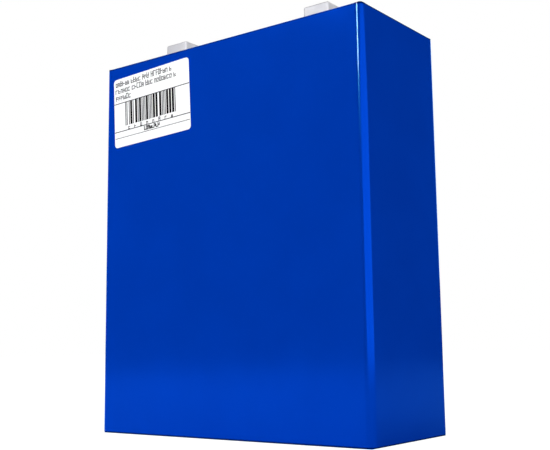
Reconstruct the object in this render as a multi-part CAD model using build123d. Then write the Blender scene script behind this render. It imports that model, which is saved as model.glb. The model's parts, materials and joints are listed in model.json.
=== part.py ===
from build123d import *
import os

# A sealed prismatic lithium cell, in millimetres.
# X runs along the width, Y through the thickness, Z up. The origin is the centre of the base.
# The label is on the front big face, which looks towards -Y. The positive pole is on the +X side.

# ---- overall size ----
cell_width = 174.0
cell_thickness = 72.0
shoulder_height = 204.8
corner_radius = 4.0

# ---- outer skins ----
film_thickness = 0.15
film_rim_width = 1.6
film_rim_radius = 0.5
film_lap_width = 10.0
film_lap_thickness = 0.1
film_lap_set_back = 1.2
bottom_patch_thickness = 0.2
bottom_patch_margin = 4.0
top_patch_thickness = 0.2
top_patch_gap = 0.3
top_patch_corner_radius = 2.0
cut_out_gap = 0.3

# ---- label on the front face ----
label_width = 58.0
label_height = 40.0
label_corner_radius = 2.0
label_thickness = 0.12
label_centre_x = -50.5
label_centre_z = 178.9
label_tilt = 2.6

# ---- can and lid ----
can_wall = 0.8
can_base = 1.5
can_edge_radius = 0.6
can_inner_edge_radius = 1.0
lid_thickness = 2.5

# ---- terminals ----
pole_spacing = 97.2
block_width = 15.5
block_length = 36.0
block_top_above_shoulder = 13.0
block_edge_radius = 1.2
edge_chamfer = 0.4
pad_width = 17.5
pad_length = 38.0
pad_thickness = 2.6
pad_corner_radius = 1.8
thread_spacing = 20.0
thread_wall_radius = 2.5
thread_depth = 8.0
thread_mouth_chamfer = 0.6
drill_tip_height = 1.2
upper_insulator_width = 23.0
upper_insulator_length = 44.0
upper_insulator_radius = 4.0
upper_insulator_floor = 0.8
upper_insulator_rim = 0.9
pad_pocket_gap = 0.1

# ---- poles through the lid ----
pole_radius = 7.0
pole_flange_radius = 11.0
pole_flange_thickness = 2.0
pole_top_below_pad_top = 0.3
seal_collar_radius = 8.8
seal_flange_radius = 10.4
seal_flange_thickness = 1.2
collector_width = 46.0
collector_length = 56.0
collector_thickness = 1.5
collector_corner_radius = 3.0
collector_slot_length = 26.0
collector_slot_width = 3.0
collector_slot_offset = 15.0
lower_insulator_inner_x = 17.0
lower_insulator_outer_x = 84.5
lower_insulator_length = 68.0
lower_insulator_radius = 2.6
lower_insulator_thickness = 2.4
lower_insulator_skirt = 1.2
lower_insulator_depth = 5.6
lower_insulator_hole_gap = 0.6

# ---- burst vent and filling hole ----
vent_opening_length = 28.0
vent_opening_width = 14.0
vent_seat_border = 2.5
vent_seat_depth = 0.9
vent_disc_thickness = 0.6
vent_disc_pocket_border = 1.0
vent_disc_pocket_depth = 0.3
vent_score_border = 2.2
vent_score_width = 0.5
vent_score_depth = 0.12
vent_guard_border = 5.0
vent_guard_gap = 1.0
vent_guard_thickness = 0.1
fill_x = 27.0
fill_cap_radius = 4.5
fill_cap_depth = 1.0
fill_cap_dimple_radius = 2.0
fill_cap_dimple_depth = 0.3
fill_seat_radius = 3.0
fill_seat_depth = 0.7
fill_hole_radius = 1.6
fit_gap = 0.05

# ---- wound cores ----
bag_gap = 0.2
bag_thickness = 0.2
bag_top_below_lid = 6.1
support_thickness = 1.0
support_gap = 0.4
support_corner_radius = 2.0
support_hole_radius = 3.0
support_hole_spacing = 22.0
support_holes_each_side = 3
core_centre_y = 17.1
core_straight_half = 68.5
core_inner_radius = 0.6
core_turns = 6
cathode_thickness = 1.1
anode_thickness = 0.9
separator_thickness = 0.15
layer_gap = 0.05
core_top_below_lid = 12.1
anode_set_in = 1.2
cathode_set_in = 2.4
core_tape_width = 24.0
core_tape_length = 150.0
core_tape_thickness = 0.1

# ---- foil tabs ----
tab_width = 40.0
foil_thickness = 0.2
tab_stack_thickness = 1.2
tab_stack_y = 14.0
tab_stack_end_y = 2.5
tab_bend_radius = 2.0
tab_gather_drop = 4.6
foil_rise_above_core = 0.4
tab_tape_width = 42.0
tab_tape_length = 9.0
tab_tape_thickness = 0.15

# ---- how far a cutting shape runs past a face, and how close two heights count as one ----
overcut = 1.0
height_tolerance = 0.01

# ---- heights that follow from the sizes above ----
film_base = bottom_patch_thickness
can_bottom = film_base + film_thickness
lid_top = shoulder_height - film_thickness - fit_gap
lid_bottom = lid_top - lid_thickness
cavity_floor = can_bottom + can_base
pad_bottom = lid_top + upper_insulator_floor
pad_top = pad_bottom + pad_thickness
block_top = shoulder_height + block_top_above_shoulder
flange_top = lid_bottom - seal_flange_thickness
flange_bottom = flange_top - pole_flange_thickness
collector_bottom = flange_bottom - collector_thickness
can_width = cell_width - 2 * film_thickness
can_depth = cell_thickness - 2 * film_thickness
cavity_width = can_width - 2 * can_wall
cavity_depth = can_depth - 2 * can_wall
cavity_radius = corner_radius - film_thickness - can_wall
pole_x = pole_spacing / 2
winding_pitch = cathode_thickness + anode_thickness + 2 * separator_thickness + 4 * layer_gap
bag_floor = cavity_floor + bag_gap / 2
support_bottom = bag_floor + bag_thickness + fit_gap
core_bottom = support_bottom + support_thickness + fit_gap
core_top = lid_bottom - core_top_below_lid


def rounded_plate(width, depth, radius, low, high):
    """An upright block with rounded vertical edges, centred on the Z axis."""
    return Pos(0, 0, low) * extrude(RectangleRounded(width, depth, radius), high - low)


def slot_plate(length, width, low, high):
    """A plate with two round ends, along X."""
    return Pos(0, 0, low) * extrude(SlotOverall(length, width), high - low)


def round_bar(radius, low, high):
    """An upright cylinder on the Z axis."""
    return Pos(0, 0, low) * extrude(Circle(radius), high - low)


def edges_at(shape, height):
    """The level edges of a solid at one height."""
    return shape.edges().filter_by_position(
        Axis.Z, height - height_tolerance, height + height_tolerance
    )


# ---- skins ----

def make_wrap_film():
    """The sleeve: four walls, a closed base, a rim folded in over the shoulder and a side lap."""
    outer = rounded_plate(cell_width, cell_thickness, corner_radius, film_base, shoulder_height)
    outer = fillet(edges_at(outer, film_base), can_edge_radius + film_thickness)
    outer = fillet(edges_at(outer, shoulder_height), film_rim_radius)
    inner_top = shoulder_height - film_thickness
    inner = rounded_plate(
        can_width, can_depth, corner_radius - film_thickness, can_bottom, inner_top
    )
    inner = fillet(edges_at(inner, can_bottom), can_edge_radius)
    inner = fillet(edges_at(inner, inner_top), film_rim_radius - film_thickness)
    mouth = rounded_plate(
        cell_width - 2 * film_rim_width,
        cell_thickness - 2 * film_rim_width,
        corner_radius - film_rim_width,
        inner_top - overcut,
        shoulder_height + overcut,
    )
    lap_height = shoulder_height - film_base - 2 * film_lap_set_back
    lap = Box(2 * film_lap_thickness, film_lap_width, lap_height)
    lap = Pos(-cell_width / 2, 0, (shoulder_height + film_base) / 2) * lap
    return outer + lap - inner - mouth


def make_bottom_patch():
    width = cell_width - 2 * bottom_patch_margin
    depth = cell_thickness - 2 * bottom_patch_margin
    return rounded_plate(width, depth, corner_radius, 0, bottom_patch_thickness)


def make_top_patch():
    """The sheet on the lid, with openings for the two terminals and the vent."""
    border = 2 * (film_rim_width + top_patch_gap)
    high = lid_top + top_patch_thickness
    sheet = rounded_plate(
        cell_width - border, cell_thickness - border, top_patch_corner_radius, lid_top, high
    )
    terminal_opening = rounded_plate(
        upper_insulator_width + 2 * cut_out_gap,
        upper_insulator_length + 2 * cut_out_gap,
        upper_insulator_radius + cut_out_gap,
        lid_top - overcut,
        high + overcut,
    )
    for side in (-1, 1):
        sheet -= Pos(side * pole_x, 0, 0) * terminal_opening
    guard_border = 2 * (vent_guard_border + vent_guard_gap)
    return sheet - slot_plate(
        vent_opening_length + guard_border,
        vent_opening_width + guard_border,
        lid_top - overcut,
        high + overcut,
    )


def make_barcode_label():
    """The paper label, a little turned, flat on the front face."""
    paper = extrude(
        RectangleRounded(label_width, label_height, label_corner_radius), label_thickness
    )
    upright = Rot(0, -label_tilt, 0) * Rot(90, 0, 0) * paper
    return Pos(label_centre_x, -cell_thickness / 2, label_centre_z) * upright


# ---- can and lid ----

def make_case_can():
    outer = rounded_plate(
        can_width, can_depth, corner_radius - film_thickness, can_bottom, lid_top
    )
    outer = fillet(edges_at(outer, can_bottom), can_edge_radius)
    outer = fillet(edges_at(outer, lid_top), film_rim_radius - film_thickness)
    cavity = rounded_plate(
        cavity_width, cavity_depth, cavity_radius, cavity_floor, lid_top + overcut
    )
    return outer - fillet(edges_at(cavity, cavity_floor), can_inner_edge_radius)


def make_lid_plate():
    """The lid, with two pole holes, a stepped vent opening and a stepped filling hole."""
    plate = rounded_plate(cavity_width, cavity_depth, cavity_radius, lid_bottom, lid_top)
    for side in (-1, 1):
        plate -= Pos(side * pole_x, 0, 0) * round_bar(seal_collar_radius, lid_bottom, lid_top)
    plate -= slot_plate(vent_opening_length, vent_opening_width, lid_bottom, lid_top)
    plate -= slot_plate(
        vent_opening_length + 2 * vent_seat_border,
        vent_opening_width + 2 * vent_seat_border,
        lid_top - vent_seat_depth,
        lid_top,
    )
    cap_floor = lid_top - fill_cap_depth
    stepped_hole = (
        round_bar(fill_cap_radius, cap_floor, lid_top)
        + round_bar(fill_seat_radius, cap_floor - fill_seat_depth, cap_floor)
        + round_bar(fill_hole_radius, lid_bottom, cap_floor)
    )
    return plate - Pos(fill_x, 0, 0) * stepped_hole


def make_vent_disc():
    """The burst disc: a thin oval plate with a hollowed middle and a scored ring in it."""
    low = lid_top - vent_seat_depth
    high = low + vent_disc_thickness
    border = 2 * (vent_seat_border - fit_gap)
    disc = slot_plate(vent_opening_length + border, vent_opening_width + border, low, high)
    pocket_floor = high - vent_disc_pocket_depth
    pocket = 2 * vent_disc_pocket_border
    disc -= slot_plate(
        vent_opening_length - pocket, vent_opening_width - pocket, pocket_floor, high
    )
    score_length = vent_opening_length - 2 * vent_score_border
    score_width = vent_opening_width - 2 * vent_score_border
    score_floor = pocket_floor - vent_score_depth
    score = slot_plate(score_length, score_width, score_floor, pocket_floor)
    score -= slot_plate(
        score_length - 2 * vent_score_width,
        score_width - 2 * vent_score_width,
        score_floor,
        pocket_floor,
    )
    return disc - score


def make_vent_guard_film():
    return slot_plate(
        vent_opening_length + 2 * vent_guard_border,
        vent_opening_width + 2 * vent_guard_border,
        lid_top,
        lid_top + vent_guard_thickness,
    )


def make_fill_cap():
    low = lid_top - fill_cap_depth
    high = lid_top - fit_gap
    cap = round_bar(fill_cap_radius - fit_gap, low, high)
    cap -= round_bar(fill_cap_dimple_radius, high - fill_cap_dimple_depth, high)
    return Pos(fill_x, 0, 0) * cap


def make_fill_plug():
    seat = lid_top - fill_cap_depth - fill_seat_depth
    head = round_bar(fill_seat_radius - fit_gap, seat, seat + fill_seat_depth - fit_gap)
    stem = round_bar(fill_hole_radius, lid_bottom, seat)
    return Pos(fill_x, 0, 0) * (head + stem)


# ---- one terminal, with its middle on the Z axis ----

def make_terminal_block():
    """A bar with two blind threaded holes, one behind the other."""
    block = rounded_plate(block_width, block_length, block_edge_radius, pad_top, block_top)
    block = chamfer(edges_at(block, block_top), edge_chamfer)
    wall_bottom = block_top - thread_depth
    tip = Pos(0, 0, wall_bottom - drill_tip_height / 2) * Cone(
        0, thread_wall_radius, drill_tip_height
    )
    mouth = Pos(0, 0, block_top - thread_mouth_chamfer / 2) * Cone(
        thread_wall_radius, thread_wall_radius + thread_mouth_chamfer, thread_mouth_chamfer
    )
    hole = round_bar(thread_wall_radius, wall_bottom, block_top) + tip + mouth
    for side in (-1, 1):
        block -= Pos(0, side * thread_spacing / 2, 0) * hole
    return block


def make_pad():
    pad = rounded_plate(pad_width, pad_length, pad_corner_radius, pad_bottom, pad_top)
    pad = chamfer(edges_at(pad, pad_top), edge_chamfer)
    return pad - round_bar(pole_radius, pad_bottom, pad_top)


def make_upper_insulator():
    """A shallow tray on the lid that the pole plate sits in."""
    high = pad_bottom + upper_insulator_rim
    tray = rounded_plate(
        upper_insulator_width, upper_insulator_length, upper_insulator_radius, lid_top, high
    )
    tray = chamfer(edges_at(tray, high), edge_chamfer)
    tray -= rounded_plate(
        pad_width + 2 * pad_pocket_gap,
        pad_length + 2 * pad_pocket_gap,
        pad_corner_radius + pad_pocket_gap,
        pad_bottom,
        high,
    )
    return tray - round_bar(pole_radius, lid_top, pad_bottom)


def make_rivet():
    """The pole: a wide flange inside the cell and a shaft up through the lid."""
    flange = round_bar(pole_flange_radius, flange_bottom, flange_top)
    flange = chamfer(edges_at(flange, flange_bottom), edge_chamfer)
    return flange + round_bar(pole_radius, flange_top, pad_top - pole_top_below_pad_top)


def make_seal_ring():
    """An L-shaped gasket: a washer under the lid and a collar in the lid's hole."""
    ring = round_bar(seal_flange_radius, flange_top, lid_bottom)
    ring += round_bar(seal_collar_radius, lid_bottom, lid_top)
    return ring - round_bar(pole_radius, flange_top, lid_top)


def make_collector():
    """The plate between the pole and the tabs, with a slot each side of the pole's flange."""
    plate = rounded_plate(
        collector_width,
        collector_length,
        collector_corner_radius,
        collector_bottom,
        flange_bottom,
    )
    slot = slot_plate(
        collector_slot_length, collector_slot_width, collector_bottom, flange_bottom
    )
    for side in (-1, 1):
        plate -= Pos(0, side * collector_slot_offset, 0) * slot
    return plate


def make_lower_insulator(side):
    """The moulded plate under one end of the lid, with a skirt round the collector."""
    width = lower_insulator_outer_x - lower_insulator_inner_x
    middle = side * (lower_insulator_outer_x + lower_insulator_inner_x) / 2
    high = lid_bottom
    low = high - lower_insulator_depth
    body = rounded_plate(width, lower_insulator_length, lower_insulator_radius, low, high)
    body -= rounded_plate(
        width - 2 * lower_insulator_skirt,
        lower_insulator_length - 2 * lower_insulator_skirt,
        lower_insulator_radius - lower_insulator_skirt,
        low,
        high - lower_insulator_thickness,
    )
    hole = round_bar(pole_flange_radius + lower_insulator_hole_gap, low, high)
    return Pos(middle, 0, 0) * body - Pos(side * pole_x, 0, 0) * hole


# ---- wound cores ----

def winding_edges(inner_radius, pitch, turns, half):
    """One side of a flat winding, seen from above, from its inner end to its outer end.

    The ends on the right are half circles about (half, 0). Those on the left are half circles
    about (-half, -pitch / 2), so each turn comes back one pitch further out.
    """
    edges = []
    start = (-half, -inner_radius)
    for turn in range(turns):
        near = inner_radius + turn * pitch
        far = near + pitch
        right_low = (half, -near)
        right_high = (half, near)
        left_high = (-half, near)
        left_low = (-half, -far)
        edges.append(Line(start, right_low))
        edges.append(ThreePointArc(right_low, (half + near, 0), right_high))
        edges.append(Line(right_high, left_high))
        left_middle = (-half - (near + far) / 2, -pitch / 2)
        edges.append(ThreePointArc(left_high, left_middle, left_low))
        start = left_low
    edges.append(Line(start, (half, start[1])))
    return edges


def make_ribbon(inner_radius, thickness, low, high):
    """One wound layer, from its inner face radius and thickness."""
    outer_radius = inner_radius + thickness
    inner = winding_edges(inner_radius, winding_pitch, core_turns, core_straight_half)
    outer = winding_edges(outer_radius, winding_pitch, core_turns, core_straight_half)
    start_cap = Line(
        (-core_straight_half, -inner_radius), (-core_straight_half, -outer_radius)
    )
    end_inner = inner_radius + core_turns * winding_pitch
    end_cap = Line(
        (core_straight_half, -end_inner), (core_straight_half, -end_inner - thickness)
    )
    outline = Wire([*inner, *outer, start_cap, end_cap])
    ribbon = extrude(make_face(outline.edges()), high - low)
    return Pos(winding_pitch / 4, winding_pitch / 2, low) * ribbon


cathode_radius = core_inner_radius
inner_separator_radius = cathode_radius + cathode_thickness + layer_gap
anode_radius = inner_separator_radius + separator_thickness + layer_gap
outer_separator_radius = anode_radius + anode_thickness + layer_gap


def make_cathode():
    return make_ribbon(
        cathode_radius, cathode_thickness, core_bottom + cathode_set_in, core_top - cathode_set_in
    )


def make_anode():
    return make_ribbon(
        anode_radius, anode_thickness, core_bottom + anode_set_in, core_top - anode_set_in
    )


def make_separator(inner_radius):
    return make_ribbon(inner_radius, separator_thickness, core_bottom, core_top)


def make_core_tape():
    """The strip that holds the winding's outer end, on the side that faces the can."""
    outer_face = outer_separator_radius + separator_thickness + core_turns * winding_pitch
    tape = Box(core_tape_width, core_tape_thickness, core_tape_length)
    middle_x = core_straight_half - core_tape_width
    middle_y = -outer_face + winding_pitch / 2 - core_tape_thickness / 2
    return Pos(middle_x, middle_y, (core_bottom + core_top) / 2) * tape


def make_tabs(first_radius, electrode_top):
    """One foil from each turn on the cell's middle side, gathered and bent under the collector.

    The profile is drawn in Y and Z about the core's middle and drawn out along X.
    """
    stack_y = core_centre_y - tab_stack_y
    end_y = core_centre_y - tab_stack_end_y
    run_z = collector_bottom - tab_stack_thickness / 2
    bend_start = (stack_y, run_z - tab_bend_radius)
    bend_end = (stack_y + tab_bend_radius, run_z)
    gather_z = collector_bottom - tab_gather_drop
    stack_line = Wire(
        [
            Line((stack_y, gather_z), bend_start),
            TangentArc(bend_start, bend_end, tangent=(0, 1)),
            Line(bend_end, (end_y, run_z)),
        ]
    )
    profile = trace(stack_line, tab_stack_thickness)
    spread = tab_stack_thickness - foil_thickness
    for turn in range(core_turns):
        foil_y = first_radius + turn * winding_pitch + winding_pitch / 2
        landing = stack_y - spread / 2 + spread * turn / (core_turns - 1)
        rise_z = core_top + foil_rise_above_core
        for foil_run in (
            Line((foil_y, electrode_top), (foil_y, rise_z)),
            Line((foil_y, rise_z - foil_thickness / 2), (landing, gather_z + foil_thickness)),
        ):
            profile += trace(foil_run, foil_thickness)
    upright = Rot(0, 0, 90) * Rot(90, 0, 0) * extrude(profile, tab_width / 2, both=True)
    return upright


def make_tab_tape():
    low = collector_bottom - tab_stack_thickness - tab_tape_thickness
    tape = Box(tab_tape_width, tab_tape_length, tab_tape_thickness)
    middle_y = tab_stack_end_y + tab_tape_length / 2
    strips = [
        Pos(0, side * middle_y, low + tab_tape_thickness / 2) * tape for side in (-1, 1)
    ]
    return Compound(children=strips)


# ---- lining of the can ----

def make_insulation_bag():
    """The open-topped plastic bag between the cores and the can."""
    width = cavity_width - 2 * bag_gap
    depth = cavity_depth - 2 * bag_gap
    top = lid_bottom - bag_top_below_lid
    outer = rounded_plate(width, depth, cavity_radius - bag_gap, bag_floor, top)
    outer = fillet(edges_at(outer, bag_floor), can_inner_edge_radius)
    inner = rounded_plate(
        width - 2 * bag_thickness,
        depth - 2 * bag_thickness,
        cavity_radius - bag_gap - bag_thickness,
        bag_floor + bag_thickness,
        top,
    )
    inner_edge = can_inner_edge_radius - bag_thickness
    return outer - fillet(edges_at(inner, bag_floor + bag_thickness), inner_edge)


def make_support_plate():
    """The plate under the cores, with a row of holes that let the electrolyte through."""
    inset = 2 * (bag_gap + bag_thickness + support_gap)
    plate = rounded_plate(
        cavity_width - inset,
        cavity_depth - inset,
        support_corner_radius,
        support_bottom,
        support_bottom + support_thickness,
    )
    plate = chamfer(edges_at(plate, support_bottom), edge_chamfer)
    hole = round_bar(support_hole_radius, support_bottom, support_bottom + support_thickness)
    for column in range(-support_holes_each_side, support_holes_each_side + 1):
        plate -= Pos(column * support_hole_spacing, 0, 0) * hole
    return plate


parts = {
    "wrap_film": make_wrap_film(),
    "bottom_patch": make_bottom_patch(),
    "top_patch": make_top_patch(),
    "barcode_label": make_barcode_label(),
    "case_can": make_case_can(),
    "lid_plate": make_lid_plate(),
    "vent_disc": make_vent_disc(),
    "vent_guard_film": make_vent_guard_film(),
    "fill_cap": make_fill_cap(),
    "fill_plug": make_fill_plug(),
    "insulation_bag": make_insulation_bag(),
    "bottom_support_plate": make_support_plate(),
}

for polarity, side in (("positive", 1), ("negative", -1)):
    place = Pos(side * pole_x, 0, 0)
    parts[f"{polarity}_terminal_block"] = place * make_terminal_block()
    parts[f"{polarity}_pad"] = place * make_pad()
    parts[f"{polarity}_upper_insulator"] = place * make_upper_insulator()
    parts[f"{polarity}_rivet"] = place * make_rivet()
    parts[f"{polarity}_seal_ring"] = place * make_seal_ring()
    parts[f"{polarity}_collector"] = place * make_collector()
    parts[f"{polarity}_lower_insulator"] = make_lower_insulator(side)
    parts[f"{polarity}_tab_tape"] = place * make_tab_tape()

cathode_top = core_top - cathode_set_in
anode_top = core_top - anode_set_in
tab_kinds = (
    ("positive", 1, cathode_radius + cathode_thickness / 2, cathode_top),
    ("negative", -1, anode_radius + anode_thickness / 2, anode_top),
)
for core, turn_angle in (("core_front", 0), ("core_back", 180)):
    turned = Rot(0, 0, turn_angle) * Pos(0, -core_centre_y, 0)
    parts[f"{core}_cathode"] = turned * make_cathode()
    parts[f"{core}_anode"] = turned * make_anode()
    parts[f"{core}_inner_separator"] = turned * make_separator(inner_separator_radius)
    parts[f"{core}_outer_separator"] = turned * make_separator(outer_separator_radius)
    parts[f"{core}_tape"] = turned * make_core_tape()
    for polarity, side, first_radius, electrode_top in tab_kinds:
        tabs = Pos(0, -core_centre_y, 0) * make_tabs(first_radius, electrode_top)
        turned_tabs = Pos(side * pole_x, 0, 0) * Rot(0, 0, turn_angle) * tabs
        parts[f"{core}_{polarity}_tabs"] = turned_tabs

os.makedirs("parts", exist_ok=True)
for name, shape in parts.items():
    shape.label = name
    export_step(shape, f"parts/{name}.step")
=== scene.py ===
import json
import math
import random

import bmesh
import bpy
from mathutils import Matrix, Vector, noise


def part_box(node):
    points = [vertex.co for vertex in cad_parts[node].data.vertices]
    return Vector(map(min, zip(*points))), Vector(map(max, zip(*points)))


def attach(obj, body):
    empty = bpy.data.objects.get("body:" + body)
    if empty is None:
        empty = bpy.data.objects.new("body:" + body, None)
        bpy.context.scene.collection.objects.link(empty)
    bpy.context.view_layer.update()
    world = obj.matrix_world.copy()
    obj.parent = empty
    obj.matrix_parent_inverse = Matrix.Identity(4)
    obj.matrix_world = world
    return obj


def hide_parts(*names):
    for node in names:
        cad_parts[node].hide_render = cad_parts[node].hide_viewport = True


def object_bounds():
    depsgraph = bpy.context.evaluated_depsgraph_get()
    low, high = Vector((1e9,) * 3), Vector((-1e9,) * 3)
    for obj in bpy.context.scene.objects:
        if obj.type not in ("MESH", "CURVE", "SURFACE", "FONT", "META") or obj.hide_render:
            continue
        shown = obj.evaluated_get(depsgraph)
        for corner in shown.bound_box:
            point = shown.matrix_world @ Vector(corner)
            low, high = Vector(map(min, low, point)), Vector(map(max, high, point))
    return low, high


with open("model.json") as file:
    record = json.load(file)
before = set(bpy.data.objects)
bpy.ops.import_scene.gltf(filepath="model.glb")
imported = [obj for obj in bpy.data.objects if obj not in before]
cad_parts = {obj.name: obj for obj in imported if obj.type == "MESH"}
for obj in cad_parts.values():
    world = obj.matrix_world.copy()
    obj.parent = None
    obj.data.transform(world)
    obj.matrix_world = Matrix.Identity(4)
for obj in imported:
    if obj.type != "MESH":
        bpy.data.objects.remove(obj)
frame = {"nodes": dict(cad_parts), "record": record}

MM = 0.001
cad_low, cad_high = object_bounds()

# ---- places read from the frame ----
film_low, film_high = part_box("wrap_film")
label_low, label_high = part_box("barcode_label")
_, patch_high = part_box("bottom_patch")
_, top_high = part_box("top_patch")
half_width = film_high.x
half_depth = film_high.y
shoulder = film_high.z
film_base = film_low.z

# ---- sizes of the film sleeve ----
CORNER_RADIUS = 4.0 * MM
FILM_THICKNESS = 0.15 * MM
BASE_EDGE_RADIUS = 0.75 * MM
BASE_SET_INS = (3.6 * MM, 2.0 * MM)
RIM_EDGE_RADIUS = 0.3 * MM
RIM_WIDTH = 1.6 * MM
RIM_SET_INS = (0.9 * MM, 1.3 * MM)
RIM_LIP = 0.05 * MM
RIM_TOLERANCE = 0.01 * MM

# ---- how finely the sleeve is divided ----
SLEEVE_STEP = 3.0 * MM
EDGE_SUPPORT = 0.2 * MM
CORNER_STEPS = 18
EDGE_TURN_STEP = 15

# ---- how far the shrunk film strays from a plain sleeve ----
EAR_HEIGHT = 0.95 * MM
EAR_SPREAD = 2.6 * MM
RAGGED_DEPTH = 0.12 * MM
RAGGED_SCALE = 180
PLEAT_DEPTH = 0.05 * MM
PLEATS_PER_TURN = 16
PLEAT_START = 0.05
WAVE_DEPTH = 0.02 * MM
WAVE_SCALE = 24
WAVE_FADE = 18 * MM
FLAT_END = 0.01

# ---- painted shade: the film's darkened colour along the shoulder and the base ----
EDGE_SHADE_COLOUR = (0.0, 0.006, 0.07, 1)
EDGE_SHADE_SHARE = 0.85
EDGE_SHADE_START = 1.0 * MM
EDGE_SHADE_FULL = 0.35 * MM

# ---- label ----
LABEL_TILT = math.radians(2.6)
PRINT_THICKNESS = 0.02 * MM


# ---- node helpers ----

def new_material(name):
    """A node material with its shader, and short ways to add nodes and links."""
    material = bpy.data.materials.new(name)
    material.use_nodes = True
    nodes = material.node_tree.nodes
    shader = nodes["Principled BSDF"]
    return material, nodes, material.node_tree.links, shader


def place_texture(nodes, links, kind, scale, stretch=(1, 1, 1), **values):
    """A texture that reads the object's own coordinates, in metres."""
    coordinates = nodes.new("ShaderNodeTexCoord")
    mapping = nodes.new("ShaderNodeMapping")
    mapping.inputs["Scale"].default_value = stretch
    texture = nodes.new(kind)
    texture.inputs["Scale"].default_value = scale
    for key, value in values.items():
        texture.inputs[key].default_value = value
    links.new(coordinates.outputs["Object"], mapping.inputs["Vector"])
    links.new(mapping.outputs["Vector"], texture.inputs["Vector"])
    return texture


def colour_ramp(nodes, links, source, low, high):
    """Turns a texture's value into a blend of two colours, over the middle of its range."""
    ramp = nodes.new("ShaderNodeValToRGB")
    first, last = ramp.color_ramp.elements
    first.position, last.position = 0.35, 0.65
    first.color, last.color = (*low, 1), (*high, 1)
    links.new(source, ramp.inputs["Fac"])
    return ramp.outputs["Color"]


def value_range(nodes, links, source, low, high, start=0.3, end=0.7):
    """Maps a value between start and end onto low to high."""
    mapped = nodes.new("ShaderNodeMapRange")
    mapped.inputs["From Min"].default_value = start
    mapped.inputs["From Max"].default_value = end
    mapped.inputs["To Min"].default_value = low
    mapped.inputs["To Max"].default_value = high
    links.new(source, mapped.inputs["Value"])
    return mapped.outputs["Result"]


def add_bump(nodes, links, source, shader, depth, strength, before=None):
    """A bump of a real depth in metres, on top of another bump if one is given."""
    bump = nodes.new("ShaderNodeBump")
    bump.inputs["Distance"].default_value = depth
    bump.inputs["Strength"].default_value = strength
    links.new(source, bump.inputs["Height"])
    if before:
        links.new(before.outputs["Normal"], bump.inputs["Normal"])
    links.new(bump.outputs["Normal"], shader.inputs["Normal"])
    return bump


# ---- materials ----

def paint_edge_shade(nodes, links, colour):
    """Painted shade: the film's colour darkens along the shoulder and the base."""
    coordinates = nodes.new("ShaderNodeTexCoord")
    height = nodes.new("ShaderNodeSeparateXYZ")
    links.new(coordinates.outputs["Object"], height.inputs["Vector"])
    for edge, inwards in ((shoulder, -1), (film_base, 1)):
        share = value_range(
            nodes, links, height.outputs["Z"], low=0.0, high=EDGE_SHADE_SHARE,
            start=edge + inwards * EDGE_SHADE_START, end=edge + inwards * EDGE_SHADE_FULL,
        )
        mix = nodes.new("ShaderNodeMix")
        mix.data_type = "RGBA"
        mix.inputs["B"].default_value = EDGE_SHADE_COLOUR
        links.new(share, mix.inputs["Factor"])
        links.new(colour, mix.inputs["A"])
        colour = mix.outputs["Result"]
    return colour


def film_material(name, edge_shade):
    """Blue film: reflections take its colour, with a faint clear gloss on top.

    With edge shade on, it also gets painted shade: the colour darkens along the shoulder and the
    base.
    """
    material, nodes, links, shader = new_material(name)
    mottle = place_texture(nodes, links, "ShaderNodeTexNoise", scale=38.0, Detail=3.0)
    colour = colour_ramp(
        nodes, links, mottle.outputs["Fac"], (0.0, 0.0475, 0.5), (0.0, 0.0505, 0.525)
    )
    # Painted shade: darkens the colour along the shoulder and the base.
    if edge_shade:
        colour = paint_edge_shade(nodes, links, colour)
    links.new(colour, shader.inputs["Base Color"])
    haze = place_texture(nodes, links, "ShaderNodeTexNoise", scale=90.0, Detail=4.0)
    links.new(
        value_range(nodes, links, haze.outputs["Fac"], low=0.1, high=0.14),
        shader.inputs["Roughness"],
    )
    peel = place_texture(nodes, links, "ShaderNodeTexNoise", scale=420.0, Detail=2.0)
    add_bump(nodes, links, peel.outputs["Fac"], shader, depth=0.004 * MM, strength=0.5)
    shader.inputs["Metallic"].default_value = 0.3
    shader.inputs["IOR"].default_value = 1.05
    shader.inputs["Specular Tint"].default_value = (0.0, 1.0, 1.0, 1)
    shader.inputs["Coat Weight"].default_value = 0.006
    shader.inputs["Coat Roughness"].default_value = 0.08
    return material


def paper_material():
    """Coated label paper: white, with a fine fibre grain."""
    material, nodes, links, shader = new_material("label_paper")
    fibre = place_texture(
        nodes, links, "ShaderNodeTexNoise", scale=900.0, stretch=(1, 1, 2.5), Detail=6.0
    )
    colour = colour_ramp(
        nodes, links, fibre.outputs["Fac"], (0.87, 0.885, 0.9), (0.93, 0.935, 0.94)
    )
    links.new(colour, shader.inputs["Base Color"])
    links.new(
        value_range(nodes, links, fibre.outputs["Fac"], low=0.42, high=0.6),
        shader.inputs["Roughness"],
    )
    add_bump(nodes, links, fibre.outputs["Fac"], shader, depth=0.006 * MM, strength=0.6)
    return material


def ink_material(name, low, high):
    """Thermal print: dull and dark, a little uneven where the head skipped."""
    material, nodes, links, shader = new_material(name)
    grain = place_texture(nodes, links, "ShaderNodeTexNoise", scale=1600.0, Detail=3.0)
    colour = colour_ramp(nodes, links, grain.outputs["Fac"], low, high)
    links.new(colour, shader.inputs["Base Color"])
    links.new(
        value_range(nodes, links, grain.outputs["Fac"], low=0.7, high=0.9),
        shader.inputs["Roughness"],
    )
    shader.inputs["Specular IOR Level"].default_value = 0.1
    return material


def metal_material(name, low, high, smooth, rough, stretch, grain_scale, depth):
    """Metal with fine lines along one axis, from rolling, drawing or milling."""
    material, nodes, links, shader = new_material(name)
    lines = place_texture(
        nodes, links, "ShaderNodeTexNoise", grain_scale, stretch, Detail=8.0, Roughness=0.65
    )
    cloud = place_texture(nodes, links, "ShaderNodeTexNoise", scale=70.0, Detail=4.0)
    colour = colour_ramp(nodes, links, cloud.outputs["Fac"], low, high)
    links.new(colour, shader.inputs["Base Color"])
    links.new(
        value_range(nodes, links, lines.outputs["Fac"], smooth, rough), shader.inputs["Roughness"]
    )
    add_bump(nodes, links, lines.outputs["Fac"], shader, depth, strength=0.8)
    shader.inputs["Metallic"].default_value = 1.0
    return material


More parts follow.
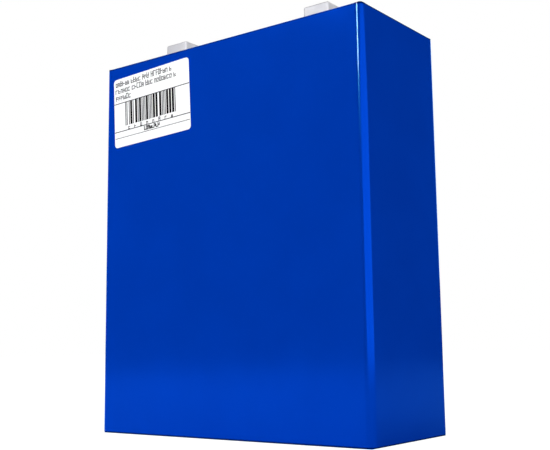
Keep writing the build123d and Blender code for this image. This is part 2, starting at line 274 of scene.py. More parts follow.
def foil_material(name, low, high):
    """Thin welded foil: bright, with soft crumples."""
    material, nodes, links, shader = new_material(name)
    crumple = place_texture(
        nodes, links, "ShaderNodeTexVoronoi", scale=260.0, stretch=(1, 0.4, 1)
    )
    fine = place_texture(nodes, links, "ShaderNodeTexNoise", scale=700.0, Detail=5.0)
    colour = colour_ramp(nodes, links, fine.outputs["Fac"], low, high)
    links.new(colour, shader.inputs["Base Color"])
    links.new(
        value_range(nodes, links, fine.outputs["Fac"], low=0.2, high=0.36),
        shader.inputs["Roughness"],
    )
    creases = add_bump(
        nodes, links, crumple.outputs["Distance"], shader, depth=0.06 * MM, strength=0.6
    )
    add_bump(
        nodes, links, fine.outputs["Fac"], shader, depth=0.01 * MM, strength=0.5, before=creases
    )
    shader.inputs["Metallic"].default_value = 1.0
    return material


def plastic_material(name, low, high, smooth, rough, grain_scale, depth, stretch=(1, 1, 1)):
    """Moulded plastic or rubber with an even fine texture."""
    material, nodes, links, shader = new_material(name)
    grain = place_texture(
        nodes, links, "ShaderNodeTexNoise", grain_scale, stretch, Detail=6.0, Roughness=0.6
    )
    cloud = place_texture(nodes, links, "ShaderNodeTexNoise", scale=55.0, Detail=3.0)
    colour = colour_ramp(nodes, links, cloud.outputs["Fac"], low, high)
    links.new(colour, shader.inputs["Base Color"])
    links.new(
        value_range(nodes, links, grain.outputs["Fac"], smooth, rough), shader.inputs["Roughness"]
    )
    add_bump(nodes, links, grain.outputs["Fac"], shader, depth, strength=0.7)
    return material


def clear_material(name, tint, amount, roughness):
    """Clear or milky film that lets some light through."""
    material, nodes, links, shader = new_material(name)
    haze = place_texture(nodes, links, "ShaderNodeTexNoise", scale=120.0, Detail=4.0)
    darker = tuple(0.93 * channel for channel in tint)
    links.new(
        colour_ramp(nodes, links, haze.outputs["Fac"], darker, tint), shader.inputs["Base Color"]
    )
    links.new(
        value_range(nodes, links, haze.outputs["Fac"], low=roughness, high=roughness + 0.08),
        shader.inputs["Roughness"],
    )
    add_bump(nodes, links, haze.outputs["Fac"], shader, depth=0.02 * MM, strength=0.5)
    shader.inputs["Transmission Weight"].default_value = amount
    shader.inputs["IOR"].default_value = 1.45
    return material


MATERIALS = {
    "film_blue": film_material("film_blue", edge_shade=False),
    "top_sheet": plastic_material(
        "top_sheet", (0.74, 0.77, 0.78), (0.8, 0.82, 0.82),
        smooth=0.4, rough=0.55, grain_scale=800.0, depth=0.01 * MM,
    ),
    "label_paper": paper_material(),
    "can_aluminium": metal_material(
        "can_aluminium", (0.66, 0.67, 0.69), (0.76, 0.77, 0.79),
        smooth=0.28, rough=0.42, stretch=(30, 30, 1), grain_scale=60.0, depth=0.008 * MM,
    ),
    "terminal_aluminium": metal_material(
        "terminal_aluminium", (0.62, 0.62, 0.66), (0.76, 0.76, 0.79),
        smooth=0.42, rough=0.6, stretch=(1, 1, 26), grain_scale=90.0, depth=0.012 * MM,
    ),
    "vent_aluminium": metal_material(
        "vent_aluminium", (0.7, 0.71, 0.73), (0.8, 0.81, 0.82),
        smooth=0.24, rough=0.36, stretch=(1, 20, 1), grain_scale=120.0, depth=0.006 * MM,
    ),
    "copper": metal_material(
        "copper", (0.78, 0.36, 0.22), (0.9, 0.5, 0.34),
        smooth=0.26, rough=0.42, stretch=(1, 24, 1), grain_scale=90.0, depth=0.008 * MM,
    ),
    "insulator_black": plastic_material(
        "insulator_black", (0.018, 0.018, 0.02), (0.032, 0.032, 0.035),
        smooth=0.42, rough=0.6, grain_scale=1200.0, depth=0.02 * MM,
    ),
    "insulator_white": plastic_material(
        "insulator_white", (0.72, 0.72, 0.69), (0.8, 0.8, 0.77),
        smooth=0.38, rough=0.52, grain_scale=700.0, depth=0.012 * MM,
    ),
    "seal_rubber": plastic_material(
        "seal_rubber", (0.012, 0.012, 0.013), (0.03, 0.03, 0.03),
        smooth=0.7, rough=0.9, grain_scale=1500.0, depth=0.02 * MM,
    ),
    "plug_rubber": plastic_material(
        "plug_rubber", (0.2, 0.03, 0.022), (0.28, 0.05, 0.035),
        smooth=0.65, rough=0.85, grain_scale=1500.0, depth=0.02 * MM,
    ),
    "clear_film": clear_material(
        "clear_film", (0.95, 0.97, 0.98), amount=0.94, roughness=0.04
    ),
    "cathode_black": plastic_material(
        "cathode_black", (0.01, 0.01, 0.011), (0.024, 0.024, 0.026),
        smooth=0.75, rough=0.95, grain_scale=2200.0, depth=0.02 * MM, stretch=(1, 1, 6),
    ),
    "anode_graphite": plastic_material(
        "anode_graphite", (0.045, 0.046, 0.05), (0.085, 0.086, 0.09),
        smooth=0.5, rough=0.75, grain_scale=2200.0, depth=0.02 * MM, stretch=(1, 1, 6),
    ),
    "separator_white": plastic_material(
        "separator_white", (0.82, 0.82, 0.8), (0.9, 0.9, 0.88),
        smooth=0.4, rough=0.58, grain_scale=500.0, depth=0.02 * MM, stretch=(1, 1, 0.2),
    ),
    "tab_aluminium": foil_material("tab_aluminium", (0.74, 0.75, 0.77), (0.86, 0.86, 0.88)),
    "tab_copper": foil_material("tab_copper", (0.8, 0.38, 0.24), (0.92, 0.54, 0.38)),
    "tape_green": clear_material(
        "tape_green", (0.06, 0.36, 0.2), amount=0.25, roughness=0.28
    ),
    "tape_blue": clear_material(
        "tape_blue", (0.1, 0.24, 0.55), amount=0.25, roughness=0.28
    ),
    "bag_plastic": clear_material(
        "bag_plastic", (0.8, 0.86, 0.9), amount=0.55, roughness=0.3
    ),
}
# The sleeve's film gets painted shade along its shoulder and base.
SLEEVE_FILM = film_material("film_sleeve", edge_shade=True)
INK_BLACK = ink_material("ink_black", (0.002, 0.002, 0.002), (0.008, 0.008, 0.009))
INK_GREY = ink_material("ink_grey", (0.012, 0.012, 0.014), (0.05, 0.05, 0.055))
MARK_INK = ink_material("mark_ink", (0.02, 0.022, 0.03), (0.05, 0.052, 0.06))
WELD_METAL = metal_material(
    "weld_metal", (0.5, 0.5, 0.53), (0.72, 0.72, 0.74),
    smooth=0.25, rough=0.45, stretch=(1, 1, 1), grain_scale=600.0, depth=0.02 * MM,
)


def finish_cad_nodes():
    """Every CAD node takes the material of its slot in the record, and copper tabs take foil."""
    for part in frame["record"]["subparts"]:
        slot = part["material_slot"]
        if slot == "copper" and part["node"].endswith("_tabs"):
            slot = "tab_copper"
        node = frame["nodes"][part["node"]]
        node.data.materials.clear()
        node.data.materials.append(MATERIALS[slot])


# ---- mesh helpers ----

def new_piece(name, mesh_builder, material, smooth_angle=None):
    """Turns a bmesh into a piece that rides on the cell."""
    mesh_builder.normal_update()
    mesh = bpy.data.meshes.new(name)
    mesh_builder.to_mesh(mesh)
    mesh_builder.free()
    mesh.materials.append(material)
    piece = bpy.data.objects.new(name, mesh)
    bpy.context.collection.objects.link(piece)
    if smooth_angle is not None:
        mesh.shade_smooth()
        mesh.set_sharp_from_angle(angle=math.radians(smooth_angle))
    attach(piece, "root")
    return piece


def spaced(start, end, step):
    """Evenly spaced values from start to end, about one step apart, without the last."""
    count = max(1, round(abs(end - start) / step))
    return [start + (end - start) * index / count for index in range(count)]


BOX_FACES = (
    (0, 1, 3, 2), (4, 6, 7, 5), (0, 4, 5, 1), (2, 3, 7, 6), (0, 2, 6, 4), (1, 5, 7, 3)
)


def add_box(builder, low, high, place=Matrix.Identity(4)):
    """A closed box between two corners, put in place by a matrix."""
    corners = [
        builder.verts.new(place @ Vector((x, y, z)))
        for x in (low[0], high[0])
        for y in (low[1], high[1])
        for z in (low[2], high[2])
    ]
    for face in BOX_FACES:
        builder.faces.new([corners[index] for index in face])


def add_ring(builder, points, height):
    """A level loop of vertices, without edges or faces."""
    return [builder.verts.new((x, y, height)) for x, y in points]


def join_rings(builder, lower, upper):
    """A band of faces between two rings with the same number of points."""
    count = len(lower)
    for index in range(count):
        following = (index + 1) % count
        builder.faces.new((lower[index], lower[following], upper[following], upper[index]))


# ---- film sleeve ----

def outline_points(step, arc_steps):
    """Where the film's wall runs, seen from above: (corner centre, direction outwards).

    A point set in by some distance is the centre plus the direction times what is left of the
    radius, so straight stretches and corners set in together.
    """
    flat_x = half_width - CORNER_RADIUS
    flat_y = half_depth - CORNER_RADIUS
    sides = (
        ((-flat_x, -flat_y), (flat_x, -flat_y), -90),
        ((flat_x, -flat_y), (flat_x, flat_y), 0),
        ((flat_x, flat_y), (-flat_x, flat_y), 90),
        ((-flat_x, flat_y), (-flat_x, -flat_y), 180),
    )
    points = []
    for start, end, angle in sides:
        outward = Vector((math.cos(math.radians(angle)), math.sin(math.radians(angle))))
        length = math.hypot(end[0] - start[0], end[1] - start[1])
        middle_run = spaced(EDGE_SUPPORT, length - EDGE_SUPPORT, step)
        for along in [0, *middle_run, length - EDGE_SUPPORT]:
            points.append((Vector(start).lerp(Vector(end), along / length), outward))
        for turn in spaced(0, 90, 90 / arc_steps):
            heading = math.radians(angle + turn)
            points.append((Vector(end), Vector((math.cos(heading), math.sin(heading)))))
    return points


def film_profile(step):
    """The film's section, from under the base, up the wall and over the rim: (set in, height)."""
    profile = [(set_in, film_base) for set_in in BASE_SET_INS]
    for angle in range(-90, 1, EDGE_TURN_STEP):
        turn = math.radians(angle)
        profile.append(
            (
                BASE_EDGE_RADIUS * (1 - math.cos(turn)),
                film_base + BASE_EDGE_RADIUS * (1 + math.sin(turn)),
            )
        )
    wall_low = film_base + BASE_EDGE_RADIUS
    wall_high = shoulder - RIM_EDGE_RADIUS
    low_support, high_support = wall_low + EDGE_SUPPORT, wall_high - EDGE_SUPPORT
    profile += [(0.0, height) for height in spaced(low_support, high_support, step)]
    profile.append((0.0, high_support))
    for angle in range(0, 91, EDGE_TURN_STEP):
        turn = math.radians(angle)
        profile.append(
            (
                RIM_EDGE_RADIUS * (1 - math.cos(turn)),
                wall_high + RIM_EDGE_RADIUS * math.sin(turn),
            )
        )
    profile += [(set_in, shoulder) for set_in in RIM_SET_INS]
    profile += [
        (RIM_WIDTH - RIM_LIP, shoulder),
        (RIM_WIDTH, shoulder - RIM_LIP),
        (RIM_WIDTH, shoulder - FILM_THICKNESS + RIM_TOLERANCE),
    ]
    return profile


def corner_share(outward):
    """1 in the middle of a corner, 0 on the flats."""
    return abs(2 * outward.x * outward.y)


def ear_height(x, y):
    """How far the shrunk film stands up at a corner of the rim."""
    distance = math.hypot(half_width - abs(x), half_depth - abs(y))
    return EAR_HEIGHT * math.exp(-((distance / EAR_SPREAD) ** 2))


def ragged_edge(centre, set_in):
    """How much further in than a straight line the rim's cut edge runs, or less if negative."""
    ragged = noise.noise(Vector((centre.x, centre.y, 3.0)) * RAGGED_SCALE)
    return RAGGED_DEPTH * ragged * min(1.0, set_in / RIM_WIDTH)


def pleat_drop(outward, set_in):
    """How far the rim dips between the small pleats of a corner."""
    heading = math.degrees(math.atan2(outward.y, outward.x))
    pleat = math.cos(math.radians(heading * PLEATS_PER_TURN))
    return PLEAT_DEPTH * corner_share(outward) * (1 + pleat) * min(1.0, set_in / RIM_EDGE_RADIUS)


def wall_dent(spot, shift, inland):
    """How far a flat wall lies inside its plane. It fades out towards the shoulder and base."""
    share = min(1.0, inland)
    fade = share ** 2 * (3 - 2 * share)
    return WAVE_DEPTH * (1 + noise.noise(spot * WAVE_SCALE + shift)) * fade


def sleeve_point(centre, outward, set_in, height):
    """One point of the film, from its place on the outline and on the section."""
    on_rim = height > shoulder - RIM_EDGE_RADIUS - RIM_TOLERANCE
    corner = corner_share(outward)
    reach = CORNER_RADIUS - set_in
    if on_rim and set_in > RIM_EDGE_RADIUS:
        reach -= ragged_edge(centre, set_in)
    x = centre.x + outward.x * reach
    y = centre.y + outward.y * reach
    z = height
    if on_rim and corner > PLEAT_START:
        z -= pleat_drop(outward, set_in)
    if on_rim:
        z += ear_height(x, y) * max(0.0, 1 - set_in / RIM_WIDTH)
    inland = min(height - film_base, shoulder - height) / WAVE_FADE
    if corner < FLAT_END and inland > 0:
        shift = Vector((centre.x + outward.x, centre.y + outward.y, 0))
        dent = wall_dent(Vector((x, y, z)), shift, inland)
        x -= outward.x * dent
        y -= outward.y * dent
    return x, y, z


def make_film_sleeve():
    """The shrunk film: flat walls with a faint wave, and a folded rim that rises at corners."""
    points = outline_points(SLEEVE_STEP, CORNER_STEPS)
    builder = bmesh.new()
    rows = [
        [
            builder.verts.new(sleeve_point(centre, outward, set_in, height))
            for centre, outward in points
        ]
        for set_in, height in film_profile(SLEEVE_STEP)
    ]
    for low_row, high_row in zip(rows, rows[1:]):
        join_rings(builder, low_row, high_row)
    builder.faces.new(list(reversed(rows[0])))
    sleeve = new_piece("film_sleeve", builder, SLEEVE_FILM, 40)
    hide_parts("wrap_film")
    return sleeve


# ---- label print ----

# Sizes in this block are in millimetres, and places are from the middle of the label.
RULE_HEIGHTS = (5.5, -11.0)
RULE_END = 28.7
RULE_WEIGHT = 0.46
DOTS = 57
DOT_HEIGHT = -14.7
DOT_START = -28.3
DOT_LENGTH = 0.5
DOT_WEIGHT = 0.36
BARS_LEFT, BARS_RIGHT = -20.2, 20.0
BARS_LOW, BARS_HIGH = -8.2, 5.3
NARROW_BAR, WIDE_BAR = 0.58, 1.6
BAR_GAPS = (0.5, 0.5, 0.5, 1.2)
LONGEST_RUN = 3
# (base line, start, end) of each row of text
TEXT_ROWS = ((15.6, -27.3, 16.0), (11.6, -27.6, 19.4), (7.5, -27.4, -15.4))
TEXT_HEIGHT = 3.0
TEXT_WEIGHT = 0.44
MARK_WIDTHS = (1.0, 1.2, 1.4)
MARK_GAP = 0.75
WORD_GAP = 1.1
# (first figure's left side, spacing, base line, height, weight) of each row of figures
FIGURE_ROWS = ((-17.9, 4.72, -10.6, 1.9, 0.42), (-5.5, 1.5, -13.7, 2.0, 0.56))
FIGURES_PER_ROW = 8
FIGURE_WIDTH = 1.0

label_centre = (label_low + label_high) / 2
LABEL_PLACE = (
    Matrix.Translation((label_centre.x, label_low.y, label_centre.z))
    @ Matrix.Rotation(-LABEL_TILT, 4, "Y")
    @ Matrix.Rotation(math.radians(90), 4, "X")
)


def add_stroke(builder, start, end, width):
    """A printed stroke on the label between two points."""
    first, last = Vector((*start, 0)) * MM, Vector((*end, 0)) * MM
    along = last - first
    turn = math.atan2(along.y, along.x)
    place = LABEL_PLACE @ Matrix.Translation(first) @ Matrix.Rotation(turn, 4, "Z")
    half = width * MM / 2
    add_box(builder, (-half, -half, 0), (along.length + half, half, PRINT_THICKNESS), place)


def make_rules():
    """Two solid rules and a dotted one across the label."""
    builder = bmesh.new()
    for height in RULE_HEIGHTS:
        add_stroke(builder, (-RULE_END, height), (RULE_END, height), RULE_WEIGHT)
    for dot in range(DOTS):
        start = DOT_START + dot
        add_stroke(builder, (start, DOT_HEIGHT), (start + DOT_LENGTH, DOT_HEIGHT), DOT_WEIGHT)
    return new_piece("label_rules", builder, INK_GREY)


def make_barcode():
    """A seeded row of narrow and wide bars, which codes nothing."""
    draw = random.Random(4)
    builder = bmesh.new()
    place = BARS_LEFT
    widths = []
    while place < BARS_RIGHT - NARROW_BAR:
        width = draw.choice((NARROW_BAR, NARROW_BAR, WIDE_BAR))
        if widths[-LONGEST_RUN:] == [width] * LONGEST_RUN:
            width = WIDE_BAR if width == NARROW_BAR else NARROW_BAR
        widths.append(width)
        bar = min(width, BARS_RIGHT - place)
        middle = place + bar / 2
        add_stroke(builder, (middle, BARS_LOW + bar / 2), (middle, BARS_HIGH - bar / 2), bar)
        place += bar + draw.choice(BAR_GAPS)
    return new_piece("label_barcode", builder, INK_BLACK)


def add_mark(builder, draw, left, base, width, height, weight):
    """One made-up mark of a few seeded strokes. A row of them spells nothing."""
    right = left + width
    top = base + height * draw.choice((0.7, 0.7, 1.0))
    levels = [base + (top - base) * share for share in (0.06, 0.5, 0.94)]
    add_stroke(builder, (left, base), (left, top), weight)
    if draw.random() < 0.6:
        low = base + height * draw.choice((0.0, 0.3))
        add_stroke(builder, (right, low), (right, top - 0.1 * height), weight)
    for level in draw.sample(levels, draw.choice((1, 2, 2))):
        add_stroke(builder, (left, level), (right, level), weight)


def make_text_rows():
    """Rows of made-up marks in word-like groups."""
    draw = random.Random(32)
    builder = bmesh.new()
    for base, start, end in TEXT_ROWS:
        place = start
        word = draw.randint(6, 10)
        while place < end:
            width = draw.choice(MARK_WIDTHS)
            add_mark(builder, draw, place, base, width, TEXT_HEIGHT, TEXT_WEIGHT)
            place += width + MARK_GAP
            word -= 1
            if word == 0:
                word = draw.randint(3, 8)
                place += WORD_GAP
    return new_piece("label_text", builder, INK_GREY)


def make_figures():
    """A spaced row under the bars and a short heavy row under the second rule."""
    draw = random.Random(7)
    builder = bmesh.new()
    for left, spacing, base, height, weight in FIGURE_ROWS:
        for index in range(FIGURES_PER_ROW):
            start = left + spacing * index
            add_mark(builder, draw, start, base, FIGURE_WIDTH, height, weight)
    return new_piece("label_figures", builder, INK_GREY)


# ---- terminals ----

BLOCK_EDGE_RADIUS = 1.2 * MM
BLOCK_CHAMFER = 0.4 * MM
BLOCK_STEP = 1.6 * MM
HOLE_SPACING = 20.0 * MM
HOLE_DEPTH = 8.0 * MM
HOLE_CHAMFER = 0.6 * MM
DRILL_TIP = 1.2 * MM
THREAD_MINOR = 2.5 * MM
THREAD_MAJOR = 2.98 * MM
THREAD_PITCH = 1.0 * MM
THREAD_RUN_OUT = 1.2 * THREAD_PITCH
ROWS_PER_PITCH = 10
HOLE_STEPS = 56
BEAD_OFFSET = 0.2 * MM
BEAD_STEP = 0.22 * MM
BEAD_SHORT_EDGE = 0.1 * MM
BEAD_RIPPLE_PITCH = 0.8 * MM
BEAD_NOISE_SCALE = 900
BEAD_WIDENING, BEAD_FLATTENING = 1.15, 0.8
BEAD_SIDES = 10
# These three are in millimetres.
BEAD_RADIUS, BEAD_RIPPLE, BEAD_NOISE = 0.5, 0.08, 0.05


def rounded_outline(low, high, radius, steps=8):
    """A rectangle with rounded corners, seen from above, anticlockwise."""
    points = []
    corners = (
        (high[0] - radius, low[1] + radius, -90),
        (high[0] - radius, high[1] - radius, 0),
        (low[0] + radius, high[1] - radius, 90),
        (low[0] + radius, low[1] + radius, 180),
    )
    for x, y, angle in corners:
        for step in range(steps + 1):
            heading = math.radians(angle + 90 * step / steps)
            points.append((x + radius * math.cos(heading), y + radius * math.sin(heading)))
    return points


def ring_edges(builder, ring):
    """The edges round a ring, made where no face has made them yet."""
    return [
        builder.edges.get((ring[index], ring[(index + 1) % len(ring)]))
        or builder.edges.new((ring[index], ring[(index + 1) % len(ring)]))
        for index in range(len(ring))
    ]


def thread_radius(share):
    """The thread's profile along one pitch: flat crest, flank, narrow root, flank."""
    crest, flank, root = 0.25, 0.3125, 0.125
    if share < crest:
        depth = 0.0
    elif share < crest + flank:
        depth = (share - crest) / flank
    elif share < crest + flank + root:
        depth = 1.0
    else:
        depth = (1.0 - share) / flank
    return THREAD_MINOR + (THREAD_MAJOR - THREAD_MINOR) * depth


def add_threaded_hole(builder, centre, top):
    """The wall of a blind hole with a helical thread, and its mouth ring."""
    rows = []
    mouth = THREAD_MINOR + HOLE_CHAMFER
    thread_top = top - HOLE_CHAMFER
    wall_bottom = top - HOLE_DEPTH
    heights = [top] + spaced(thread_top, wall_bottom, THREAD_PITCH / ROWS_PER_PITCH) + [wall_bottom]
    for height in heights:
        row = []
        for step in range(HOLE_STEPS):
            turn = step / HOLE_STEPS
            radius = thread_radius((height / THREAD_PITCH + turn) % 1.0)
            run_out = min(1.0, (height - wall_bottom) / THREAD_RUN_OUT)
            radius = THREAD_MINOR + (radius - THREAD_MINOR) * run_out
            if height == top:
                radius = mouth
            heading = 2 * math.pi * turn
            row.append(
                builder.verts.new(
                    (
                        centre[0] + radius * math.cos(heading),
                        centre[1] + radius * math.sin(heading),
                        height,
                    )
                )
            )
        rows.append(row)
    for upper, lower in zip(rows, rows[1:]):
        join_rings(builder, upper, lower)
    tip = builder.verts.new((centre[0], centre[1], wall_bottom - DRILL_TIP))
    for index in range(HOLE_STEPS):
        builder.faces.new((rows[-1][index], rows[-1][(index + 1) % HOLE_STEPS], tip))
    return rows[0]


def make_terminal_block(polarity):
    """The drawn bar with chamfered top edges and two tapped holes."""
    low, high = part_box(f"{polarity}_terminal_block")
    builder = bmesh.new()
    outline = rounded_outline(low, high, BLOCK_EDGE_RADIUS)
    inset = Vector((BLOCK_CHAMFER, BLOCK_CHAMFER, 0))
    top_outline = rounded_outline(low + inset, high - inset, BLOCK_EDGE_RADIUS - BLOCK_CHAMFER)
    wall_top = high.z - BLOCK_CHAMFER
    heights = spaced(low.z, wall_top, BLOCK_STEP) + [wall_top]
    rings = [add_ring(builder, outline, height) for height in heights]
    bottom_ring = rings[0]
    top_ring = add_ring(builder, top_outline, high.z)
    rings.append(top_ring)
    for lower, upper in zip(rings, rings[1:]):
        join_rings(builder, lower, upper)
    builder.faces.new(list(reversed(bottom_ring)))
    middle = (low + high) / 2
    edges = ring_edges(builder, top_ring)
    for side in (-1, 1):
        centre = (middle.x, middle.y + side * HOLE_SPACING / 2)
        mouth = add_threaded_hole(builder, centre, high.z)
        edges += ring_edges(builder, mouth)
    bmesh.ops.triangle_fill(builder, use_beauty=True, use_dissolve=False, edges=edges)
    bmesh.ops.recalc_face_normals(builder, faces=builder.faces)
    block = new_piece(
        f"{polarity}_block_detailed", builder, MATERIALS["terminal_aluminium"],
        35,
    )
    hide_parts(f"{polarity}_terminal_block")
    return block


def make_weld_bead(polarity):
    """The rippled laser weld round the foot of the bar, on the pole plate."""
    low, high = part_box(f"{polarity}_terminal_block")
    builder = bmesh.new()
    grow = Vector((BEAD_OFFSET, BEAD_OFFSET, 0))
    path = rounded_outline(low - grow, high + grow, BLOCK_EDGE_RADIUS + grow.x, steps=10)
    loop = []
    for start, end in zip(path, path[1:] + path[:1]):
        along = Vector(end) - Vector(start)
        if along.length > BEAD_SHORT_EDGE:
            for travel in spaced(0, along.length, BEAD_STEP):
                loop.append(Vector(start) + along * (travel / along.length))
        else:
            loop.append(Vector(start))
    travelled = 0.0
    rings = []
    for index, point in enumerate(loop):
        ahead = loop[(index + 1) % len(loop)] - loop[index - 1]
        outward = Vector((ahead.y, -ahead.x)).normalized()
        ripple = BEAD_RIPPLE * abs(math.sin(math.pi * travelled / BEAD_RIPPLE_PITCH))
        uneven = BEAD_NOISE * noise.noise(Vector((travelled * BEAD_NOISE_SCALE, 0, 0)))
        radius = (BEAD_RADIUS + ripple + uneven) * MM
        ring = []
        for step in range(BEAD_SIDES):
            turn = 2 * math.pi * step / BEAD_SIDES
            spot = point + outward * radius * BEAD_WIDENING * math.cos(turn)
            height = low.z + radius * BEAD_FLATTENING * math.sin(turn)
            ring.append(builder.verts.new((spot.x, spot.y, height)))
        rings.append(ring)
        travelled += (loop[(index + 1) % len(loop)] - point).length
    for ring, following in zip(rings, rings[1:] + rings[:1]):
        join_rings(builder, ring, following)
    bmesh.ops.recalc_face_normals(builder, faces=builder.faces)
    return new_piece(
        f"{polarity}_weld_bead", builder, WELD_METAL, 60
    )


# ---- small things on the skins ----

SIGN_ARM = 4.0 * MM
SIGN_HALF_WEIGHT = 0.7 * MM
LAP_BOTTOM_GAP = 1.4 * MM
LAP_TOP_GAP = 1.0 * MM
LAP_STEP = 1.0 * MM
LAP_WAVE_SCALE = 90
FLAP_GAP = 0.3 * MM
FLAP_SET_IN = 1.0 * MM
LONG_FLAP_LEVELS = (0.04 * MM, 0.17 * MM)
SHORT_FLAP_LEVELS = (0.11 * MM, 0.2 * MM)
# The rest are in millimetres. The section is a list of (across, proud of the wall).
LAP_SECTION = (
    (-5.0, 0.0), (-4.0, 0.03), (-2.0, 0.055), (0.0, 0.06), (2.0, 0.07),
    (4.0, 0.085), (4.9, 0.09), (5.0, 0.06), (5.02, 0.0),
)
LAP_EDGE_WAVE = 0.16
LAP_PRESS_DEPTH = 0.012
LAP_PRESS_HALF_WIDTH = 3.5


def make_polarity_marks():
    """A printed plus and minus on the top sheet, outside the terminals."""
    low_z, high_z = top_high.z, top_high.z + PRINT_THICKNESS
    for polarity, side in (("positive", 1), ("negative", -1)):
        low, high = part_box(f"{polarity}_upper_insulator")
        outer = high.x if side > 0 else low.x
        x = (outer + side * top_high.x) / 2
        left, right = x - SIGN_HALF_WEIGHT, x + SIGN_HALF_WEIGHT
        builder = bmesh.new()
        add_box(
            builder,
            (x - SIGN_ARM, -SIGN_HALF_WEIGHT, low_z),
            (x + SIGN_ARM, SIGN_HALF_WEIGHT, high_z),
        )
        if side > 0:
            add_box(builder, (left, -SIGN_ARM, low_z), (right, -SIGN_HALF_WEIGHT, high_z))
            add_box(builder, (left, SIGN_HALF_WEIGHT, low_z), (right, SIGN_ARM, high_z))
        new_piece(f"{polarity}_mark", builder, MARK_INK)


def make_film_lap():
    """The sealed overlap of the film down one narrow face, with a slightly wavy free edge."""
    low, high = film_base + LAP_BOTTOM_GAP, shoulder - LAP_TOP_GAP
    builder = bmesh.new()
    rows = []
    for height in spaced(low, high, LAP_STEP) + [high]:
        wave = LAP_EDGE_WAVE * noise.noise(Vector((0, 5, height * LAP_WAVE_SCALE)))
        pressed = LAP_PRESS_DEPTH * math.cos(math.pi * height / MM)
        row = []
        for across, proud in LAP_SECTION:
            press = pressed if abs(across) < LAP_PRESS_HALF_WIDTH else 0.0
            x = -half_width - (proud + press) * MM
            y = (across + wave * (across > 0)) * MM
            row.append(builder.verts.new((x, y, height)))
        rows.append(row)
    for lower, upper in zip(rows, rows[1:]):
        for index in range(len(LAP_SECTION) - 1):
            builder.faces.new((lower[index], upper[index], upper[index + 1], lower[index + 1]))
    return new_piece("film_lap", builder, SLEEVE_FILM, 50)


def make_base_flaps():
    """The film's ends, folded flat under the base like a parcel, round the base sheet."""
    inner_x, inner_y = patch_high.x + FLAP_GAP, patch_high.y + FLAP_GAP
    outer_x, outer_y = half_width - FLAP_SET_IN, half_depth - FLAP_SET_IN
    long_flap = (
        (-outer_x, outer_y), (outer_x, outer_y), (inner_x, inner_y), (-inner_x, inner_y)
    )
    short_flap = (
        (outer_x, outer_y), (outer_x, -outer_y), (inner_x, -inner_y), (inner_x, inner_y)
    )
    builder = bmesh.new()
    for outline, (low, high) in (
        (long_flap, LONG_FLAP_LEVELS), (short_flap, SHORT_FLAP_LEVELS)
    ):
        for turn in (1, -1):
            turned = [(turn * x, turn * y) for x, y in outline]
            lower = add_ring(builder, turned, low)
            upper = add_ring(builder, turned, high)
            join_rings(builder, lower, upper)
            builder.faces.new(list(reversed(lower)))
            builder.faces.new(upper)
    bmesh.ops.recalc_face_normals(builder, faces=builder.faces)
    return new_piece("film_base_flaps", builder, MATERIALS["film_blue"])


finish_cad_nodes()
sleeve = make_film_sleeve()
make_film_lap()
make_base_flaps()
make_rules()
make_barcode()
make_text_rows()
make_figures()
terminals = []
for polarity in ("positive", "negative"):
    terminals.append(make_terminal_block(polarity))
    terminals.append(make_weld_bead(polarity))
make_polarity_marks()


# ---- floor, light and camera ----

FLOOR_SIZE = 4.0
FLOOR_GAP = 0.05 * MM
FLOOR_GLOW = 1.2
FLOOR_GLOW_SHARE = 0.9
WORLD_LEVEL = 0.04
LENS = 59.3
SHIFT_X, SHIFT_Y = -0.0286, -0.0202
CAMERA_PLACE = (299.44 * MM, -382.81 * MM, 45.94 * MM)
CAMERA_HEADING, CAMERA_LIFT, CAMERA_ROLL = 0.6344, 0.1436, -0.0151


def make_floor():
    """A plain pale floor, kept near white for the camera."""
    material, nodes, links, shader = new_material("floor_white")
    shader.inputs["Base Color"].default_value = (0.5, 0.5, 0.5, 1)
    shader.inputs["Roughness"].default_value = 0.9
    shader.inputs["Specular IOR Level"].default_value = 0.1
    glow = nodes.new("ShaderNodeEmission")
    glow.inputs["Strength"].default_value = FLOOR_GLOW
    mix = nodes.new("ShaderNodeMixShader")
    path = nodes.new("ShaderNodeLightPath")
    share = nodes.new("ShaderNodeMath")
    share.operation = "MULTIPLY"
    share.inputs[1].default_value = FLOOR_GLOW_SHARE
    links.new(path.outputs["Is Camera Ray"], share.inputs[0])
    links.new(share.outputs[0], mix.inputs["Fac"])
    links.new(shader.outputs["BSDF"], mix.inputs[1])
    links.new(glow.outputs["Emission"], mix.inputs[2])
    links.new(mix.outputs["Shader"], nodes["Material Output"].inputs["Surface"])
    builder = bmesh.new()
    bmesh.ops.create_grid(builder, x_segments=1, y_segments=1, size=FLOOR_SIZE)
    mesh = bpy.data.meshes.new("floor")
    builder.to_mesh(mesh)
    builder.free()
    mesh.materials.append(material)
    floor = bpy.data.objects.new("floor", mesh)
    bpy.context.collection.objects.link(floor)
    floor.location.z = cad_low.z - FLOOR_GAP


def make_world(level):
    """White behind the object, dimmer as a light."""
    world = bpy.data.worlds.new("studio")
    world.use_nodes = True
    bpy.context.scene.world = world
    nodes, links = world.node_tree.nodes, world.node_tree.links
    lit = nodes["Background"]
    lit.inputs["Color"].default_value = (1, 1, 1, 1)
    lit.inputs["Strength"].default_value = level
    seen = nodes.new("ShaderNodeBackground")
    seen.inputs["Strength"].default_value = 1.0
    seen.inputs["Color"].default_value = (1, 1, 1, 1)
    mix = nodes.new("ShaderNodeMixShader")
    path = nodes.new("ShaderNodeLightPath")
    links.new(path.outputs["Is Camera Ray"], mix.inputs["Fac"])
    links.new(lit.outputs["Background"], mix.inputs[1])
    links.new(seen.outputs["Background"], mix.inputs[2])
    links.new(mix.outputs["Shader"], nodes["World Output"].inputs["Surface"])


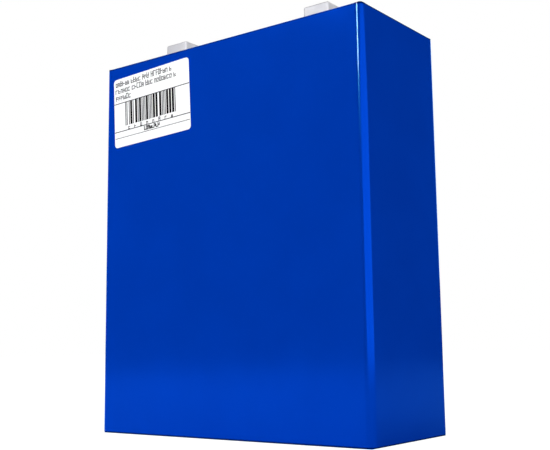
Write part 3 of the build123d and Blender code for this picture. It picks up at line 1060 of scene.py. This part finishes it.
def make_softbox(name, about, azimuth, elevation, distance, width, height, radiance):
    """An area light that faces a point. Azimuth 0 is +X, 90 is +Y. Sizes are in metres."""
    heading, lift = math.radians(azimuth), math.radians(elevation)
    away = Vector(
        (
            math.cos(heading) * math.cos(lift),
            math.sin(heading) * math.cos(lift),
            math.sin(lift),
        )
    )
    light = bpy.data.lights.new(name, "AREA")
    light.shape = "RECTANGLE"
    light.size = width
    light.size_y = height
    light.energy = radiance * math.pi * width * height
    lamp = bpy.data.objects.new(name, light)
    bpy.context.collection.objects.link(lamp)
    lamp.location = about + away * distance
    lamp.rotation_euler = away.to_track_quat("Z", "Y").to_euler()
    return lamp


def light_only(lamp, pieces):
    """Keeps a lamp to some pieces, and gives back their collection."""
    group = bpy.data.collections.new(f"{lamp.name}_receivers")
    for piece in pieces:
        group.objects.link(piece)
    lamp.light_linking.receiver_collection = group
    return group


def light_all_but(lamp, pieces):
    """Keeps a lamp off some pieces."""
    for entry in light_only(lamp, pieces).collection_objects:
        entry.light_linking.link_state = "EXCLUDE"


def make_camera():
    """A close low camera to the right of the front face, turned a little about its axis."""
    data = bpy.data.cameras.new("camera")
    data.lens = LENS
    data.sensor_width = 36.0
    data.shift_x = SHIFT_X
    data.shift_y = SHIFT_Y
    data.clip_start = 0.01
    data.clip_end = 50.0
    camera = bpy.data.objects.new("camera", data)
    bpy.context.collection.objects.link(camera)
    ahead = Vector(
        (
            -math.sin(CAMERA_HEADING) * math.cos(CAMERA_LIFT),
            math.cos(CAMERA_HEADING) * math.cos(CAMERA_LIFT),
            math.sin(CAMERA_LIFT),
        )
    )
    level_right = ahead.cross(Vector((0, 0, 1))).normalized()
    level_up = level_right.cross(ahead)
    right = math.cos(CAMERA_ROLL) * level_right + math.sin(CAMERA_ROLL) * level_up
    up = math.cos(CAMERA_ROLL) * level_up - math.sin(CAMERA_ROLL) * level_right
    turn = Matrix((right, up, -ahead)).transposed()
    camera.matrix_world = Matrix.Translation(CAMERA_PLACE) @ turn.to_4x4()
    bpy.context.scene.camera = camera


make_floor()
make_world(WORLD_LEVEL)
middle = Vector((0, 0, shoulder / 2))
near_edge = Vector((half_width, -half_depth, shoulder * 0.9))

# The film's own lights: a main one from the left, a wide low one from the right, and a small
# warm strip whose reflection is the pale line down the near edge.
key = make_softbox(
    "key_front", middle, azimuth=-148, elevation=48,
    distance=1.3, width=1.3, height=0.9, radiance=8.9,
)
make_softbox(
    "fill_right", middle, azimuth=-14, elevation=8,
    distance=1.2, width=2.9, height=0.75, radiance=2.35,
)
strip = make_softbox(
    "edge_strip", near_edge, azimuth=-83, elevation=22.5,
    distance=1.3, width=0.26, height=0.26, radiance=1900.0,
)
strip.data.color = (1.0, 0.042, 0.0064)
strip.visible_diffuse = False

# A soft light for the sides that the camera doesn't see.
make_softbox(
    "back_fill", middle, azimuth=102, elevation=24,
    distance=1.3, width=1.5, height=1.0, radiance=2.2,
)

# The terminals are much paler than the film, so they have dimmer lights of their own.
terminal_key = make_softbox(
    "terminal_key", middle, azimuth=-135, elevation=38,
    distance=1.3, width=1.0, height=0.8, radiance=1.9,
)
glint = make_softbox(
    "terminal_glint", middle, azimuth=-84, elevation=18,
    distance=1.3, width=1.3, height=0.6, radiance=2.6,
)
bounce = make_softbox(
    "terminal_bounce", middle, azimuth=55, elevation=20,
    distance=1.3, width=1.2, height=0.9, radiance=0.22,
)
light_only(strip, [sleeve])
light_only(bounce, terminals)
light_only(terminal_key, terminals)
light_only(glint, terminals)
light_all_but(key, terminals)
make_camera()
bpy.context.scene.view_settings.view_transform = "Standard"
